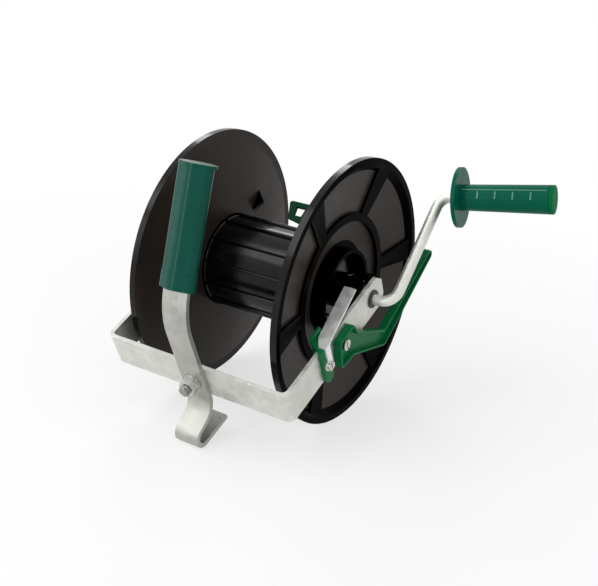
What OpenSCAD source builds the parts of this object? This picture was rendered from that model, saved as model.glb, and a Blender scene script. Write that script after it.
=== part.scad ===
// Hand-wound electric fence reel: a dished drum turning on a cranked axle in a bent flat-bar frame.
// Millimetres. +X runs along the axle to the crank side, +Y to the back, +Z up.
// The origin is the middle of the winding barrel, on the axle. The reel stands on its rims and its hook.

/* [Drum] */
// Radius of both flanges
flange_r = 125; // [90:0.5:160]
// Clear width between the two rims
rim_gap = 145.3; // [100:0.1:200]
// Width of a rim along the axle
rim_w = 6.5; // [4:0.1:12]
// Radial height of the rim
rim_lip = 6; // [2:0.1:9]
// Radial run of the crease between web and rim
crease_run = 6; // [2:0.1:12]
// Rise of the crease between web and rim
crease_step = 2.6; // [0.5:0.1:6]
// How far a flange is dished in towards the barrel
dish = 14.2; // [5:0.1:25]
// Thickness of the flange web
web_t = 3.6; // [2:0.1:6]
// Outer radius of the stiffening ring on the web
ring_r = 72.6; // [60:0.1:90]
// Radial width of the stiffening ring
ring_w = 7.4; // [3:0.1:14]
// Height of ring and spokes above the web
rib_rise = 2.6; // [1:0.1:6]
// Number of spokes on a flange
spoke_count = 6; // [3:1:12]
// Width of a spoke at the rim
spoke_rim_w = 25; // [6:0.1:30]
// Width of a spoke at the ring
spoke_ring_w = 13; // [4:0.1:20]
// Turn of the first spoke from the back
spoke_turn = 7; // [0:0.1:60]
// Outer radius of the wall round the hub recess
hub_wall_r = 39.5; // [30:0.1:60]
// Thickness of the hub recess wall
hub_wall_t = 3.5; // [2:0.1:8]
// Height of the hub recess wall above the recess floor
hub_wall_h = 11; // [3:0.1:20]
// Radius of the hub boss
boss_r = 17; // [10:0.1:30]
// Radius of the winding barrel
barrel_r = 43; // [30:0.1:60]
// Wall of the winding barrel
barrel_t = 4; // [2:0.1:8]
// Number of ribs along the barrel
barrel_ribs = 12; // [6:1:24]
// Width of a barrel rib
barrel_rib_w = 2.6; // [1:0.1:8]
// Height of a barrel rib
barrel_rib_h = 3; // [0.4:0.1:5]
// Turn of the first barrel rib from the back
barrel_rib_turn = 17; // [0:0.1:60]
// Width of the bead at each end of the barrel
bead_w = 2.4; // [1:0.1:6]
// Height of the bead at each end of the barrel
bead_h = 1; // [0.4:0.1:2.5]
// How far a flange spigot reaches into the barrel
spigot = 6; // [3:0.1:15]
// Wall of a flange spigot
spigot_t = 4; // [2:0.1:8]

/* [Drum fasteners] */
// Screws that tie each flange to the barrel
tie_count = 3; // [2:1:6]
// Radius of the circle of tie screws
tie_pcd_r = 28; // [22:0.1:40]
// Radius of a tie screw
tie_r = 2; // [1:0.1:4]
// Radius of a tie screw head
tie_head_r = 4; // [2:0.1:8]
// Height of a tie screw head
tie_head_h = 2.6; // [1:0.1:6]
// Radius of the moulded pillar round a tie screw
pillar_r = 5.5; // [3:0.1:9]
// Thickness of the barrel's inner walls that the tie screws bite in
bulkhead_t = 6; // [3:0.1:12]
// Slot width in the screw heads
slot_w = 1.3; // [0.6:0.1:3]
// Slot depth in the screw heads
slot_depth = 1.2; // [0.4:0.1:3]

/* [Line hook] */
// Distance of the line lug from the axle
lug_r = 107; // [90:0.1:110]
// Turn of the line lug from the back
lug_turn = 126; // [0:0.1:360]
// Length of the line lug along the axle
lug_len = 5; // [4:0.1:12]
// Size of the line lug across
lug_w = 9; // [8:0.1:11]
// Depth of the line hook's root in the lug
hook_plug = 3; // [1:0.1:4]
// Half width of the line hook's root
hook_bar_r = 3; // [1:0.1:3.4]
// Thickness of the line hook
hook_t = 3.4; // [2:0.1:6]
// Near side of the line hook's eye, from the foot of the lug
eye_near = 8; // [7:0.1:14]
// Far corner of the eye, from the foot of the lug
eye_far = 23; // [18:0.1:35]
// Back corner of the eye, from the foot of the lug
eye_back = 17; // [15:0.1:25]
// Lower reach of the eye's corners
eye_low = 5.2; // [4:0.1:10]
// Upper reach of the eye's near corner
eye_high = 10.4; // [8:0.1:18]
// Upper reach of the eye's back corner
eye_back_high = 8.6; // [7:0.1:16]
// Radius of the eye's corners
eye_corner = 2.4; // [1:0.1:4]
// Far end of the hole, from the foot of the lug
hole_far = 16.8; // [14:0.1:20]
// Back corner of the hole, from the foot of the lug
hole_back = 14.6; // [12:0.1:18]
// Lower edge of the hole
hole_low = 2.6; // [1:0.1:3]
// Upper edge of the hole
hole_high = 6.6; // [4:0.1:8]
// Turn of the line cleat on the far flange from the back
cleat_turn = 48; // [0:0.1:360]
// Inner end of the line cleat, from the axle
cleat_in_r = 53; // [48:0.1:70]
// Outer end of the line cleat, from the axle
cleat_out_r = 80; // [70:0.1:100]
// Height of the line cleat
cleat_h = 10; // [4:0.1:20]
// Thickness of the line cleat
cleat_t = 4; // [2:0.1:8]

/* [Ratchet] */
// Number of ratchet teeth
tooth_count = 12; // [6:1:24]
// Radius over the ratchet teeth
tooth_tip_r = 21.8; // [15:0.1:40]
// Radius at the root of the teeth
tooth_root_r = 18; // [12:0.1:35]
// Share of the pitch taken by a tooth
tooth_share = 0.46; // [0.2:0.01:0.7]
// Length of the toothed part along the axle
tooth_len = 10.5; // [5:0.1:25]
// Room ahead of the pawl before the face of a tooth
tooth_room = 0.9; // [0.3:0.05:3]

/* [Frame] */
// Width of the flat bar
bar_w = 32.5; // [20:0.1:45]
// Thickness of the flat bar
bar_t = 3.8; // [3:0.1:8]
// Distance from the axle to the front of the frame
arm_reach = 145; // [130:0.1:200]
// Outer face of the crank side arm
arm_right = 100.5; // [90:0.1:140]
// Outer face of the far arm
arm_left = 93.7; // [85:0.1:140]
// Length of the arms past the axle
arm_tail = 19; // [12:0.1:40]
// Corner cut at the arm ends
arm_corner = 8; // [2:0.1:14]
// Outer radius of the frame bends
frame_bend = 8; // [6:0.1:25]

/* [Handle strap] */
// Width of the strap
strap_w = 25; // [15:0.1:40]
// Thickness of the strap
strap_t = 4.4; // [3:0.1:8]
// Straight part above the axle line
strap_up = 53; // [30:0.1:90]
// Radius of the upper bend
strap_bend = 70; // [30:0.1:120]
// Backward lean of the strap in the grip, as run over rise
strap_lean_share = 0.75; // [0.2:0.01:1.5]
// Straight part below the axle line
strap_down = 18; // [16:0.1:50]
// Radius of the bend out to the hook
hook_out_r = 20; // [10:0.1:40]
// Tangent of half the turn of the bend out to the hook
hook_out_share = 0.75; // [0.4:0.01:1]
// Straight part out to the hook
hook_run = 10; // [0.5:0.1:20]
// Radius of the hook, to the middle of the strap
hook_r = 8; // [4:0.05:15]
// Length of the hook's return leg
hook_leg = 33.5; // [15:0.1:60]
// Length of strap held in the grip
strap_hold = 98; // [60:0.1:130]

/* [Hand grip] */
// Length of the hand grip
hand_len = 104; // [80:0.1:140]
// Width of the hand grip
hand_w = 33; // [28:0.1:50]
// Depth of the hand grip
hand_d = 22; // [16:0.1:40]
// Share of the grip's half depth that its ends are rounded with
hand_end_share = 0.64; // [0.4:0.01:0.9]
// Thickness of the lip at the top
hand_lip_t = 2.4; // [1:0.1:6]
// Overhang of the lip at the top
hand_lip = 2.4; // [1:0.1:8]
// Shift of the lip to the back
hand_lip_back = 1.8; // [0:0.1:4]
// Length of the band at the foot of the grip
hand_band = 14; // [5:0.1:30]
// Height of the band at the foot of the grip
hand_band_h = 0.4; // [0.3:0.1:2]

/* [Handle bolt] */
// Radius of the handle bolt
bolt_r = 4.5; // [3:0.1:8]
// Width across the flats of head and nut
bolt_af = 15; // [10:0.1:24]
// Height of the bolt head
bolt_head_h = 6.4; // [3:0.1:10]
// Height of the nut
nut_h = 8; // [4:0.1:12]
// Bolt end standing out of the nut
bolt_out = 5; // [1:0.1:15]
// Radius of the washer
washer_r = 8.5; // [7:0.1:16]
// Thickness of the washer
washer_t = 2; // [1:0.1:4]

/* [Crank] */
// Radius of the crank rod
rod_r = 5; // [3:0.1:8]
// Distance of the crank arm's axis from the outer face of the frame
crank_stand = 20.8; // [16:0.1:50]
// Straight part of the crank arm
crank_arm = 90; // [50:0.1:140]
// Radius of the crank bends
crank_bend = 14; // [9:0.1:30]
// Angle of the crank from the back, upwards
crank_turn = 46.9; // [0:0.1:360]
// Outward lean of the crank grip
grip_lean = 11.8; // [0:0.1:25]
// Rod standing out past the far arm
rod_tail = 10; // [6:0.1:20]
// Radius of the axle bushes
bush_r = 7.5; // [6:0.1:12]
// Radius of a bush collar
bush_collar_r = 8.5; // [8:0.1:16]
// Thickness of a bush collar
bush_collar_t = 1.5; // [0.5:0.1:4]
// Radius of the thrust washers
thrust_r = 13; // [8:0.1:20]
// Thickness of the thrust washers
thrust_t = 1.5; // [0.5:0.1:4]
// Radius of the drive pin through hub and rod
drive_pin_r = 2.5; // [1:0.1:4]
// Height of the drive pin above the hub recess floor
drive_pin_up = 13; // [6:0.1:20]
// Radius of the split pin
split_r = 1.2; // [0.6:0.1:2.5]
// Length of the split pin
split_len = 17; // [12:0.1:30]
// Radius of the split pin's eye
split_eye_r = 2.6; // [1.5:0.1:5]

/* [Crank grip] */
// Start of the grip from the corner of the crank
grip_start = 16.4; // [12:0.1:30]
// Length of the crank grip
grip_len = 88; // [60:0.1:130]
// Radius of the grip's guard disc
guard_r = 27.9; // [18:0.1:40]
// Thickness of the guard disc
guard_t = 3.6; // [2:0.1:8]
// Radius of the grip next to the disc
grip_r = 12; // [9:0.1:20]
// Radius of the grip at its end
grip_end_r = 13.2; // [9:0.1:22]
// Number of finger ticks on the crank grip
tick_count = 5; // [3:1:9]
// Turn of the finger ticks about the grip
tick_turn = -71; // [-180:1:180]
// Length of a finger tick round the grip
tick_len = 7; // [3:0.1:15]
// Width of a finger tick
tick_w = 1.6; // [0.6:0.1:4]
// Height of a finger tick
tick_h = 0.6; // [0.3:0.1:2]
// Thickness of the end cap
cap_t = 4; // [2:0.1:8]
// Depth of the pocket for the retaining clip
clip_pocket = 9; // [6:0.1:20]
// Radius of the pocket for the retaining clip
clip_pocket_r = 9; // [6.5:0.1:11]
// Radius of the retaining clip
clip_r = 7.6; // [6:0.1:10]
// Thickness of the retaining clip
clip_t = 1.6; // [0.6:0.1:4]

/* [Lock lever] */
// Pivot of the lever, distance in front of the axle
pivot_ahead = 60; // [40:0.1:90]
// Thickness of the lever
lever_t = 7.7; // [5:0.1:12]
// Thickness of the lever's floor
lever_floor = 3; // [1.5:0.1:6]
// Width of the raised edge of the lever
lever_edge = 2; // [1:0.1:4]
// Thickness of the cam on the inner side of the arm
cam_t = 6; // [3:0.1:9]
// Offset of the cam from the pivot towards the axle
cam_along = 5; // [1:0.1:12]
// Radius of the cam's nose
cam_r = 4.5; // [2.5:0.1:6]
// Radius of the cam round the pivot
cam_root_r = 7; // [6:0.1:9]
// Radius of the lever's shaft through the arm
shaft_r = 5; // [4:0.1:8]
// Knee of the lever, distance in front of the pivot
knee_along = 7; // [4:0.1:14]
// Knee of the lever, height above the pivot
knee_up = 7.5; // [3:0.1:10]
// Brow of the lever, distance behind the pivot
brow_along = 12.5; // [6:0.1:20]
// Brow of the lever, height above the pivot
brow_up = 7.8; // [3:0.1:10]
// Toe of the lever, distance in front of the pivot
toe_along = 10.5; // [4:0.1:20]
// Toe of the lever, distance below the pivot
toe_down = 14; // [8:0.1:25]
// Radius of the lever head's corners
head_corner = 3.5; // [2.5:0.1:8]
// Root of the lever's arm, distance behind the pivot
root_along = 10; // [4:0.1:20]
// Root of the lever's arm, distance below the pivot
root_down = 8; // [2:0.1:14]
// Radius of the lever where the arm leaves the head
root_r = 11; // [6:0.1:16]
// Elbow of the lever, distance behind the pivot
elbow_along = 58; // [40:0.1:90]
// Elbow of the lever, distance below the pivot
elbow_down = 45; // [20:0.1:70]
// Half width of the lever at the elbow
elbow_r = 8; // [4:0.1:14]
// Tip of the lever, distance behind the pivot
tip_along = 157; // [100:0.1:220]
// Tip of the lever, distance below the pivot
tip_down = 24; // [0:0.1:60]
// Half width of the lever at the tip
tip_r = 4.6; // [2.6:0.1:8]
// Radius of the pivot screw
pivot_r = 3; // [2:0.1:5]
// Radius of the pivot screw's head
pivot_head_r = 5.2; // [3.5:0.1:9]
// Height of the pivot screw's head
pivot_head_h = 2.8; // [1:0.1:5]
// Radius of the boss round the pivot
pivot_boss_r = 7.5; // [5:0.1:12]
// Height of the boss round the pivot
pivot_boss_h = 4.6; // [3:0.1:9]
// Width across the flats of the pivot nut
pivot_nut_af = 10; // [6:0.1:16]
// Height of the pivot nut
pivot_nut_h = 4.5; // [2:0.1:8]

/* [Saddle and pawl] */
// Middle of the saddle, distance in front of the axle
saddle_ahead = 87; // [80:0.1:120]
// Length of the saddle along the arm
saddle_len = 13; // [9:0.1:25]
// Thickness of the saddle's outer plate
saddle_t = 3.5; // [2:0.1:6]
// Thickness of the saddle's inner block
saddle_in = 8.2; // [5:0.1:13]
// Drop of the saddle's tongue below the axle line
saddle_drop = 20; // [10:0.1:30]
// Rise of the saddle's bridge above the arm
bridge_t = 3; // [2:0.1:8]
// Rise of the guide wall above the bridge
guide_up = 6; // [3:0.1:20]
// Thickness of the guide wall
guide_t = 2.2; // [2:0.1:6]
// Start of the inner block, behind the saddle's middle
block_start = 2; // [-6:0.1:8]
// Length of the inner block along the arm
block_len = 7.5; // [4:0.1:7.8]
// Length of the guide wall along the arm
guide_len = 15; // [8:0.1:17]
// Radius of the saddle screw
saddle_screw_r = 2.5; // [1.5:0.1:4]
// Radius of the saddle screw's head
saddle_head_r = 4.2; // [3:0.1:8]
// Height of the saddle screw's head
saddle_head_h = 2.6; // [1:0.1:5]
// Thickness of the spring steel
leaf_t = 1.8; // [0.8:0.1:3]
// Width of the fixed tab
tab_w = 7; // [4:0.1:12]
// Middle of the fixed tab, behind the saddle's middle
tab_mid = 2.5; // [0:0.1:4]
// Radius of the tab's eye round the screw
tab_eye_r = 5; // [4.4:0.1:6.4]
// Width of the pawl blade
blade_w = 12.5; // [8:0.1:18]
// Sideways drift of the blade from bend to tip
blade_drift = 11; // [0:0.1:20]
// Middle of the blade at its bend, distance inside the arm's outer face
blade_in = 2; // [0:0.1:6]
// Bend of the blade, distance in front of the axle
blade_ahead = 77; // [60:0.1:90]
// Tip of the blade, distance in front of the axle
blade_tip = 13; // [5:0.1:20]
// Drop angle of the blade when the lever locks
blade_fall = 3.24; // [1:0.01:8]

/* [Hidden] */
$fn = 96;

// Clearances, and the overrun that carries a cut past a face
overrun = 1;
run_gap = 0.06;
press_gap = 0.04;
face_gap = 0.3;
limb_inset = 0.05;

// Drum values that follow from the sizes above
rim_in = rim_gap / 2;
rim_out = rim_in + rim_w;
floor_in = rim_in - dish;
web_top_r = flange_r - rim_lip;
web_foot_r = barrel_r + barrel_rib_h;
crease_r = web_top_r - crease_run;
crease_in = rim_in - crease_step;
web_slope = (crease_in - floor_in) / (crease_r - web_foot_r);
lug_foot = web_face(lug_r - lug_w / 2);
root_mid = (eye_high - eye_low) / 2;
floor_out = floor_in + web_t;
boss_end_right = arm_right - bar_t - face_gap - thrust_t - face_gap;
boss_end_left = arm_left - bar_t - face_gap - thrust_t - face_gap;
crank_out = arm_right + crank_stand;
bend_short = crank_bend * tan((90 - grip_lean) / 2);
bend_top = crank_bend + crank_arm;
end_washer_x = arm_left + bush_collar_t + face_gap;
split_x = end_washer_x + thrust_t + face_gap + split_r;
crank_r = bend_top + bend_short;
tooth_pitch = 360 / tooth_count;

// Frame values that follow from the sizes above
strap_mid = (arm_right - arm_left) / 2;
strap_y = -arm_reach - strap_t / 2;
strap_lean = atan(strap_lean_share);
hook_out_turn = 2 * atan(hook_out_share);
hook_y = strap_y - hook_out_r * (1 - cos(hook_out_turn)) - hook_run * sin(hook_out_turn)
    + hook_r * cos(hook_out_turn);
hook_z = -strap_down - hook_out_r * sin(hook_out_turn) - hook_run * cos(hook_out_turn)
    - hook_r * sin(hook_out_turn);
// Tilt of the frame that brings the hook down to the floor under the rims
tilt = asin((flange_r - hook_r - strap_t / 2) / norm([hook_y, hook_z])) - atan2(-hook_z, -hook_y);

// Lever and pawl values that follow from the sizes above
arm_top = bar_w / 2;
arm_in = arm_right - bar_t;
blade_out = arm_right - blade_in;
lever_in = arm_right + face_gap;
blade_z = arm_top + bridge_t;
cam_out = arm_in - face_gap;
cam_up = blade_z - face_gap - cam_r;
tip_low_z = blade_z - (blade_ahead - blade_tip) * sin(blade_fall);
tooth_face = atan2(tip_low_z + leaf_t, -blade_tip) - tooth_room / tooth_tip_r * 180 / PI;

// Axle distance of the web's winding face at a radius
function web_face(r) = floor_in + (r - web_foot_r) * web_slope;

// Placing

module tilted() {
    rotate([tilt, 0, 0]) children();
}

// Turns a drawing of back (x) and up (y) into a body of the given width along the axle
module along_axle(width, start = 0) {
    translate([start, 0, 0]) rotate([90, 0, 90]) linear_extrude(width) children();
}

// Turns a drawing of radius (x) and axle distance (y) into a body round the axle
module round_axle() {
    rotate([0, 90, 0]) rotate_extrude() children();
}

module axle_rod(r, from, to) {
    translate([from, 0, 0]) rotate([0, 90, 0]) cylinder(r = r, h = to - from);
}

module crank_side() {
    rotate([crank_turn - 90, 0, 0]) children();
}

module grip_line() {
    crank_side() translate([crank_out, 0, crank_r]) rotate([0, 90 - grip_lean, 0]) children();
}

// Drawing

// Bar with round ends of two radii, its sides set in a little so that they cut the rounds cleanly
module limb(from, from_r, to, to_r) {
    span = norm(to - from);
    heading = atan2(to[1] - from[1], to[0] - from[0]);
    splay = acos((from_r - to_r) / span);
    left = [cos(heading + splay), sin(heading + splay)];
    right = [cos(heading - splay), sin(heading - splay)];
    translate(from) circle(from_r);
    translate(to) circle(to_r);
    polygon([
        from + (from_r - limb_inset) * right,
        to + (to_r - limb_inset) * right,
        to + (to_r - limb_inset) * left,
        from + (from_r - limb_inset) * left
    ]);
}

// Straight run of strap, then whatever follows at its end
module strap_run(length) {
    translate([0, -strap_t / 2]) square([length, strap_t]);
    translate([length, 0]) children();
}

// Bend of strap, to the left for side = 1 and to the right for side = -1, then what follows
module strap_turn(r, turn, side) {
    far = r + strap_t;
    translate([0, side * r]) {
        intersection() {
            difference() {
                circle(r + strap_t / 2);
                circle(r - strap_t / 2);
            }
            translate([0, -far]) square([far, 2 * far]);
            rotate(side * turn) translate([-far, -far]) square([far, 2 * far]);
        }
        rotate(side * turn) translate([0, -side * r]) children();
    }
}

// Rounded block, wider than deep, that narrows from its middle to its round ends
module oval(width, depth) {
    end_r = hand_end_share * depth / 2;
    for (side = [-1, 1]) {
        limb([0, 0], depth / 2, [side * (width / 2 - end_r), 0], end_r);
    }
}

module hexagon(flats) {
    circle(flats / 2 / cos(30), $fn = 6);
}

// Washer on the axle
module ring_plate(outer, inner, thick, start) {
    difference() {
        axle_rod(outer, start, start + thick);
        axle_rod(inner, start - overrun, start + thick + overrun);
    }
}

// Slotted pan head screw pointing down from its head's seat
module pan_screw(shank, length, head, head_h) {
    translate([0, 0, -length]) cylinder(r = shank, h = length);
    difference() {
        cylinder(r = head, h = head_h);
        translate([-head - overrun, -slot_w / 2, head_h - slot_depth])
            cube([2 * (head + overrun), slot_w, slot_depth + overrun]);
    }
}

// Frame

module frame_outline(front, right, left, corner) {
    translate([-left, -front + corner]) square([right + left, front - corner + arm_tail + overrun]);
    translate([-left + corner, -front]) square([right + left - 2 * corner, front]);
    translate([-left + corner, -front + corner]) circle(corner);
    translate([right - corner, -front + corner]) circle(corner);
}

module arm_end_cut() {
    for (side = [-1, 1]) {
        polygon([[arm_tail - arm_corner, side * (arm_top + overrun)],
            [arm_tail - arm_corner, side * arm_top],
            [arm_tail, side * (arm_top - arm_corner)],
            [arm_tail + 2 * overrun, side * (arm_top - arm_corner)],
            [arm_tail + 2 * overrun, side * (arm_top + overrun)]]);
    }
    translate([arm_tail, -bar_w]) square([2 * overrun, 2 * bar_w]);
}

module u_frame() {
    color("silver") tilted() difference() {
        translate([0, 0, -bar_w / 2]) linear_extrude(bar_w) difference() {
            frame_outline(arm_reach, arm_right, arm_left, frame_bend);
            frame_outline(arm_reach - bar_t, arm_right - bar_t, arm_left - bar_t, frame_bend - bar_t);
        }
        along_axle(arm_left + arm_right + 2 * overrun, -arm_left - overrun) arm_end_cut();
        axle_rod(bush_r, -arm_left - overrun, arm_right + overrun);
        translate([0, -pivot_ahead, 0]) axle_rod(shaft_r + run_gap, 0, arm_right + overrun);
        translate([0, -saddle_ahead, 0]) axle_rod(saddle_screw_r + press_gap, 0, arm_right + overrun);
        translate([strap_mid, -arm_reach - overrun, 0]) rotate([-90, 0, 0])
            cylinder(r = bolt_r + press_gap, h = bar_t + 2 * overrun);
    }
}

module axle_bush() {
    difference() {
        union() {
            axle_rod(bush_r - press_gap, -bar_t, 0);
            axle_rod(bush_collar_r, 0, bush_collar_t);
        }
        axle_rod(rod_r + run_gap, -bar_t - overrun, bush_collar_t + overrun);
    }
}

module axle_bushes() {
    color("dimgray") {
        translate([arm_right, 0, 0]) axle_bush();
        translate([-arm_left, 0, 0]) mirror([1, 0, 0]) axle_bush();
    }
}

// Handle

module strap_side() {
    translate([strap_y, 0]) {
        rotate(90) strap_run(strap_up) strap_turn(strap_bend, strap_lean, -1) strap_run(strap_hold);
        rotate(-90) strap_run(strap_down) strap_turn(hook_out_r, hook_out_turn, -1) strap_run(hook_run)
            strap_turn(hook_r, hook_out_turn + 90, 1) strap_run(hook_leg);
    }
}

module handle_strap() {
    color("silver") tilted() difference() {
        along_axle(strap_w, strap_mid - strap_w / 2) strap_side();
        translate([strap_mid, strap_y - strap_t, 0]) rotate([-90, 0, 0])
            cylinder(r = bolt_r + press_gap, h = 2 * strap_t);
    }
}

// Puts the grip's foot at the end of the strap's upper bend, with its length along Z
module hand_line() {
    bend_back = strap_bend * (1 - cos(strap_lean));
    bend_up = strap_bend * sin(strap_lean);
    tilted() translate([strap_mid, strap_y + bend_back, strap_up + bend_up])
        rotate([-strap_lean, 0, 0]) children();
}

module hand_grip() {
    color("darkgreen") hand_line() difference() {
        union() {
            linear_extrude(hand_len) oval(hand_w, hand_d);
            linear_extrude(hand_band) oval(hand_w + 2 * hand_band_h, hand_d + 2 * hand_band_h);
            translate([0, hand_lip_back, hand_len - hand_lip_t])
                linear_extrude(hand_lip_t) oval(hand_w + hand_lip, hand_d + 2 * hand_lip);
        }
        translate([0, 0, -overrun]) linear_extrude(strap_hold + face_gap + overrun)
            square([strap_w + 2 * press_gap, strap_t + 2 * press_gap], center = true);
    }
}

// Puts the front face of the strap at z = 0, looking out of the reel, on the handle bolt's axis
module bolt_line() {
    tilted() translate([strap_mid, -arm_reach - strap_t, 0]) rotate([90, 0, 0]) children();
}

module handle_bolt() {
    stack = strap_t + bar_t;
    color("gray") bolt_line() {
        translate([0, 0, -stack - bolt_head_h]) linear_extrude(bolt_head_h) hexagon(bolt_af);
        translate([0, 0, -stack]) cylinder(r = bolt_r, h = stack + washer_t + nut_h + bolt_out);
    }
}

module handle_washer() {
    color("silver") bolt_line() difference() {
        cylinder(r = washer_r, h = washer_t);
        translate([0, 0, -overrun]) cylinder(r = bolt_r + press_gap, h = washer_t + 2 * overrun);
    }
}

module handle_nut() {
    color("silver") bolt_line() translate([0, 0, washer_t]) difference() {
        linear_extrude(nut_h) hexagon(bolt_af);
        translate([0, 0, -overrun]) cylinder(r = bolt_r + press_gap, h = nut_h + 2 * overrun);
    }
}

// Drum

// Half section of a flange, radius against axle distance, without its hub boss
module flange_section() {
    polygon([
        [rod_r + overrun, floor_in],
        [barrel_r - barrel_t - spigot_t, floor_in],
        [barrel_r - barrel_t - spigot_t, floor_in - spigot],
        [barrel_r - barrel_t - press_gap, floor_in - spigot],
        [barrel_r - barrel_t - press_gap, floor_in],
        [web_foot_r, floor_in],
        [crease_r, crease_in],
        [web_top_r, rim_in],
        [flange_r, rim_in],
        [flange_r, rim_out],
        [web_top_r, rim_out],
        [crease_r, crease_in + web_t],
        [ring_r, floor_out + (ring_r - web_foot_r) * web_slope],
        [ring_r, floor_out + (ring_r - web_foot_r) * web_slope + rib_rise],
        [ring_r - ring_w, floor_out + (ring_r - web_foot_r) * web_slope + rib_rise],
        [ring_r - ring_w, floor_out + (ring_r - ring_w - web_foot_r) * web_slope],
        [web_foot_r, floor_out],
        [hub_wall_r, floor_out],
        [hub_wall_r, floor_out + hub_wall_h],
        [hub_wall_r - hub_wall_t, floor_out + hub_wall_h],
        [hub_wall_r - hub_wall_t, floor_out],
        [rod_r + overrun, floor_out]
    ]);
}

// Band of web between ring and rim, raised by the height of the spokes
module spoke_section() {
    polygon([
        [ring_r - ring_w / 2, floor_in + (ring_r - ring_w / 2 - web_foot_r) * web_slope + web_t / 2],
        [crease_r, crease_in + web_t / 2],
        [web_top_r, rim_in + web_t / 2],
        [web_top_r, crease_in + crease_run * web_slope + web_t + rib_rise],
        [ring_r, floor_out + (ring_r - web_foot_r) * web_slope + rib_rise],
        [ring_r - ring_w / 2, floor_out + (ring_r - web_foot_r) * web_slope + rib_rise]
    ]);
}

module spoke_plan() {
    for (spoke = [1 : spoke_count]) {
        rotate(spoke_turn + spoke * 360 / spoke_count)
            polygon([[0, -spoke_ring_w / 2], [ring_r, -spoke_ring_w / 2], [flange_r, -spoke_rim_w / 2],
                [flange_r, spoke_rim_w / 2], [ring_r, spoke_ring_w / 2], [0, spoke_ring_w / 2]]);
    }
}

// Places the tie screws round the axle
module tie_places() {
    for (tie = [1 : tie_count]) {
        rotate([spoke_turn + tie * 360 / tie_count, 0, 0]) translate([0, tie_pcd_r, 0]) children();
    }
}

// Flange with its web outwards along +X and a hub boss that ends at the given distance
module flange(boss_end) {
    difference() {
        union() {
            round_axle() flange_section();
            intersection() {
                round_axle() spoke_section();
                along_axle(rim_out) spoke_plan();
            }
            axle_rod(boss_r, floor_in, boss_end);
            tie_places() axle_rod(pillar_r, floor_in - spigot, floor_out);
        }
        axle_rod(rod_r + press_gap, 0, boss_end + overrun);
        tie_places() axle_rod(tie_r + press_gap, 0, rim_out);
    }
}

module flange_left() {
    color("black") mirror([1, 0, 0]) {
        flange(boss_end_left);
        line_cleat();
    }
}

// Fin on the winding side of the far flange, for winding the end of the line round
module line_cleat() {
    cleat_mid_r = (cleat_in_r + cleat_out_r) / 2;
    rotate([cleat_turn, 0, 0]) linear_extrude(cleat_t, center = true)
        polygon([
            [web_face(cleat_in_r) + web_t / 2, cleat_in_r],
            [web_face(cleat_out_r) + web_t / 2, cleat_out_r],
            [web_face(cleat_mid_r) - cleat_h, cleat_mid_r]
        ]);
}

// Lug moulded on the winding side of the near flange
module line_lug() {
    lug_root = lug_foot + (web_t + lug_w * web_slope) / 2;
    rotate([lug_turn, 0, 0]) translate([lug_foot - lug_len, lug_r - lug_w / 2, root_mid - lug_w / 2])
        cube([lug_root - lug_foot + lug_len, lug_w, lug_w]);
}

// Puts the foot of the lug at the origin of a drawing of the line hook, which leads away from the web
module hook_place() {
    rotate([lug_turn, 0, 0]) translate([lug_foot, lug_r, 0]) rotate([90, 0, 180]) children();
}

module hook_root_plan(half) {
    limb([lug_len - hook_plug, root_mid], half, [eye_near, root_mid], half);
}

module ratchet_plan() {
    for (tooth = [1 : tooth_count]) {
        rotate(tilt + tooth_face + tooth * tooth_pitch)
            polygon([[0, 0],
                tooth_root_r * [cos(tooth_share * tooth_pitch), -sin(tooth_share * tooth_pitch)],
                [tooth_tip_r, 0]]);
    }
    circle(tooth_root_r);
}

module flange_right() {
    color("black") difference() {
        union() {
            flange(boss_end_right);
            line_lug();
            difference() {
                along_axle(tooth_len, boss_end_right - tooth_len) ratchet_plan();
                axle_rod(boss_r - overrun, 0, arm_right);
            }
        }
        translate([floor_out + drive_pin_up, 0, -boss_r - overrun])
            cylinder(r = drive_pin_r + press_gap, h = 2 * (boss_r + overrun));
        hook_place() linear_extrude(hook_t + 2 * press_gap, center = true)
            hook_root_plan(hook_bar_r + press_gap);
    }
}

module barrel() {
    bulkhead_out = floor_in - spigot;
    bulkhead_in = bulkhead_out - bulkhead_t;
    color("black") difference() {
        union() {
            axle_rod(barrel_r, -floor_in, floor_in);
            for (rib = [1 : barrel_ribs]) {
                rotate([barrel_rib_turn + rib * 360 / barrel_ribs, 0, 0])
                    translate([-floor_in, barrel_r - barrel_t / 2, -barrel_rib_w / 2])
                    cube([2 * floor_in, barrel_t / 2 + barrel_rib_h, barrel_rib_w]);
            }
            axle_rod(barrel_r + bead_h, -floor_in, -floor_in + bead_w);
            axle_rod(barrel_r + bead_h, floor_in - bead_w, floor_in);
        }
        axle_rod(barrel_r - barrel_t, -bulkhead_in, bulkhead_in);
        axle_rod(rod_r + overrun, -floor_in, floor_in);
        for (side = [0, 1]) {
            mirror([side, 0, 0]) {
                axle_rod(barrel_r - barrel_t, bulkhead_out, floor_in + overrun);
                tie_places() axle_rod(tie_r + press_gap, bulkhead_in - overrun, floor_in);
            }
        }
    }
}

module flange_screws() {
    tie_len = web_t + spigot + bulkhead_t;
    color("silver") for (side = [0, 1]) {
        mirror([side, 0, 0]) tie_places() translate([floor_out, 0, 0]) rotate([0, 90, 0])
            pan_screw(tie_r, tie_len, tie_head_r, tie_head_h);
    }
}

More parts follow.
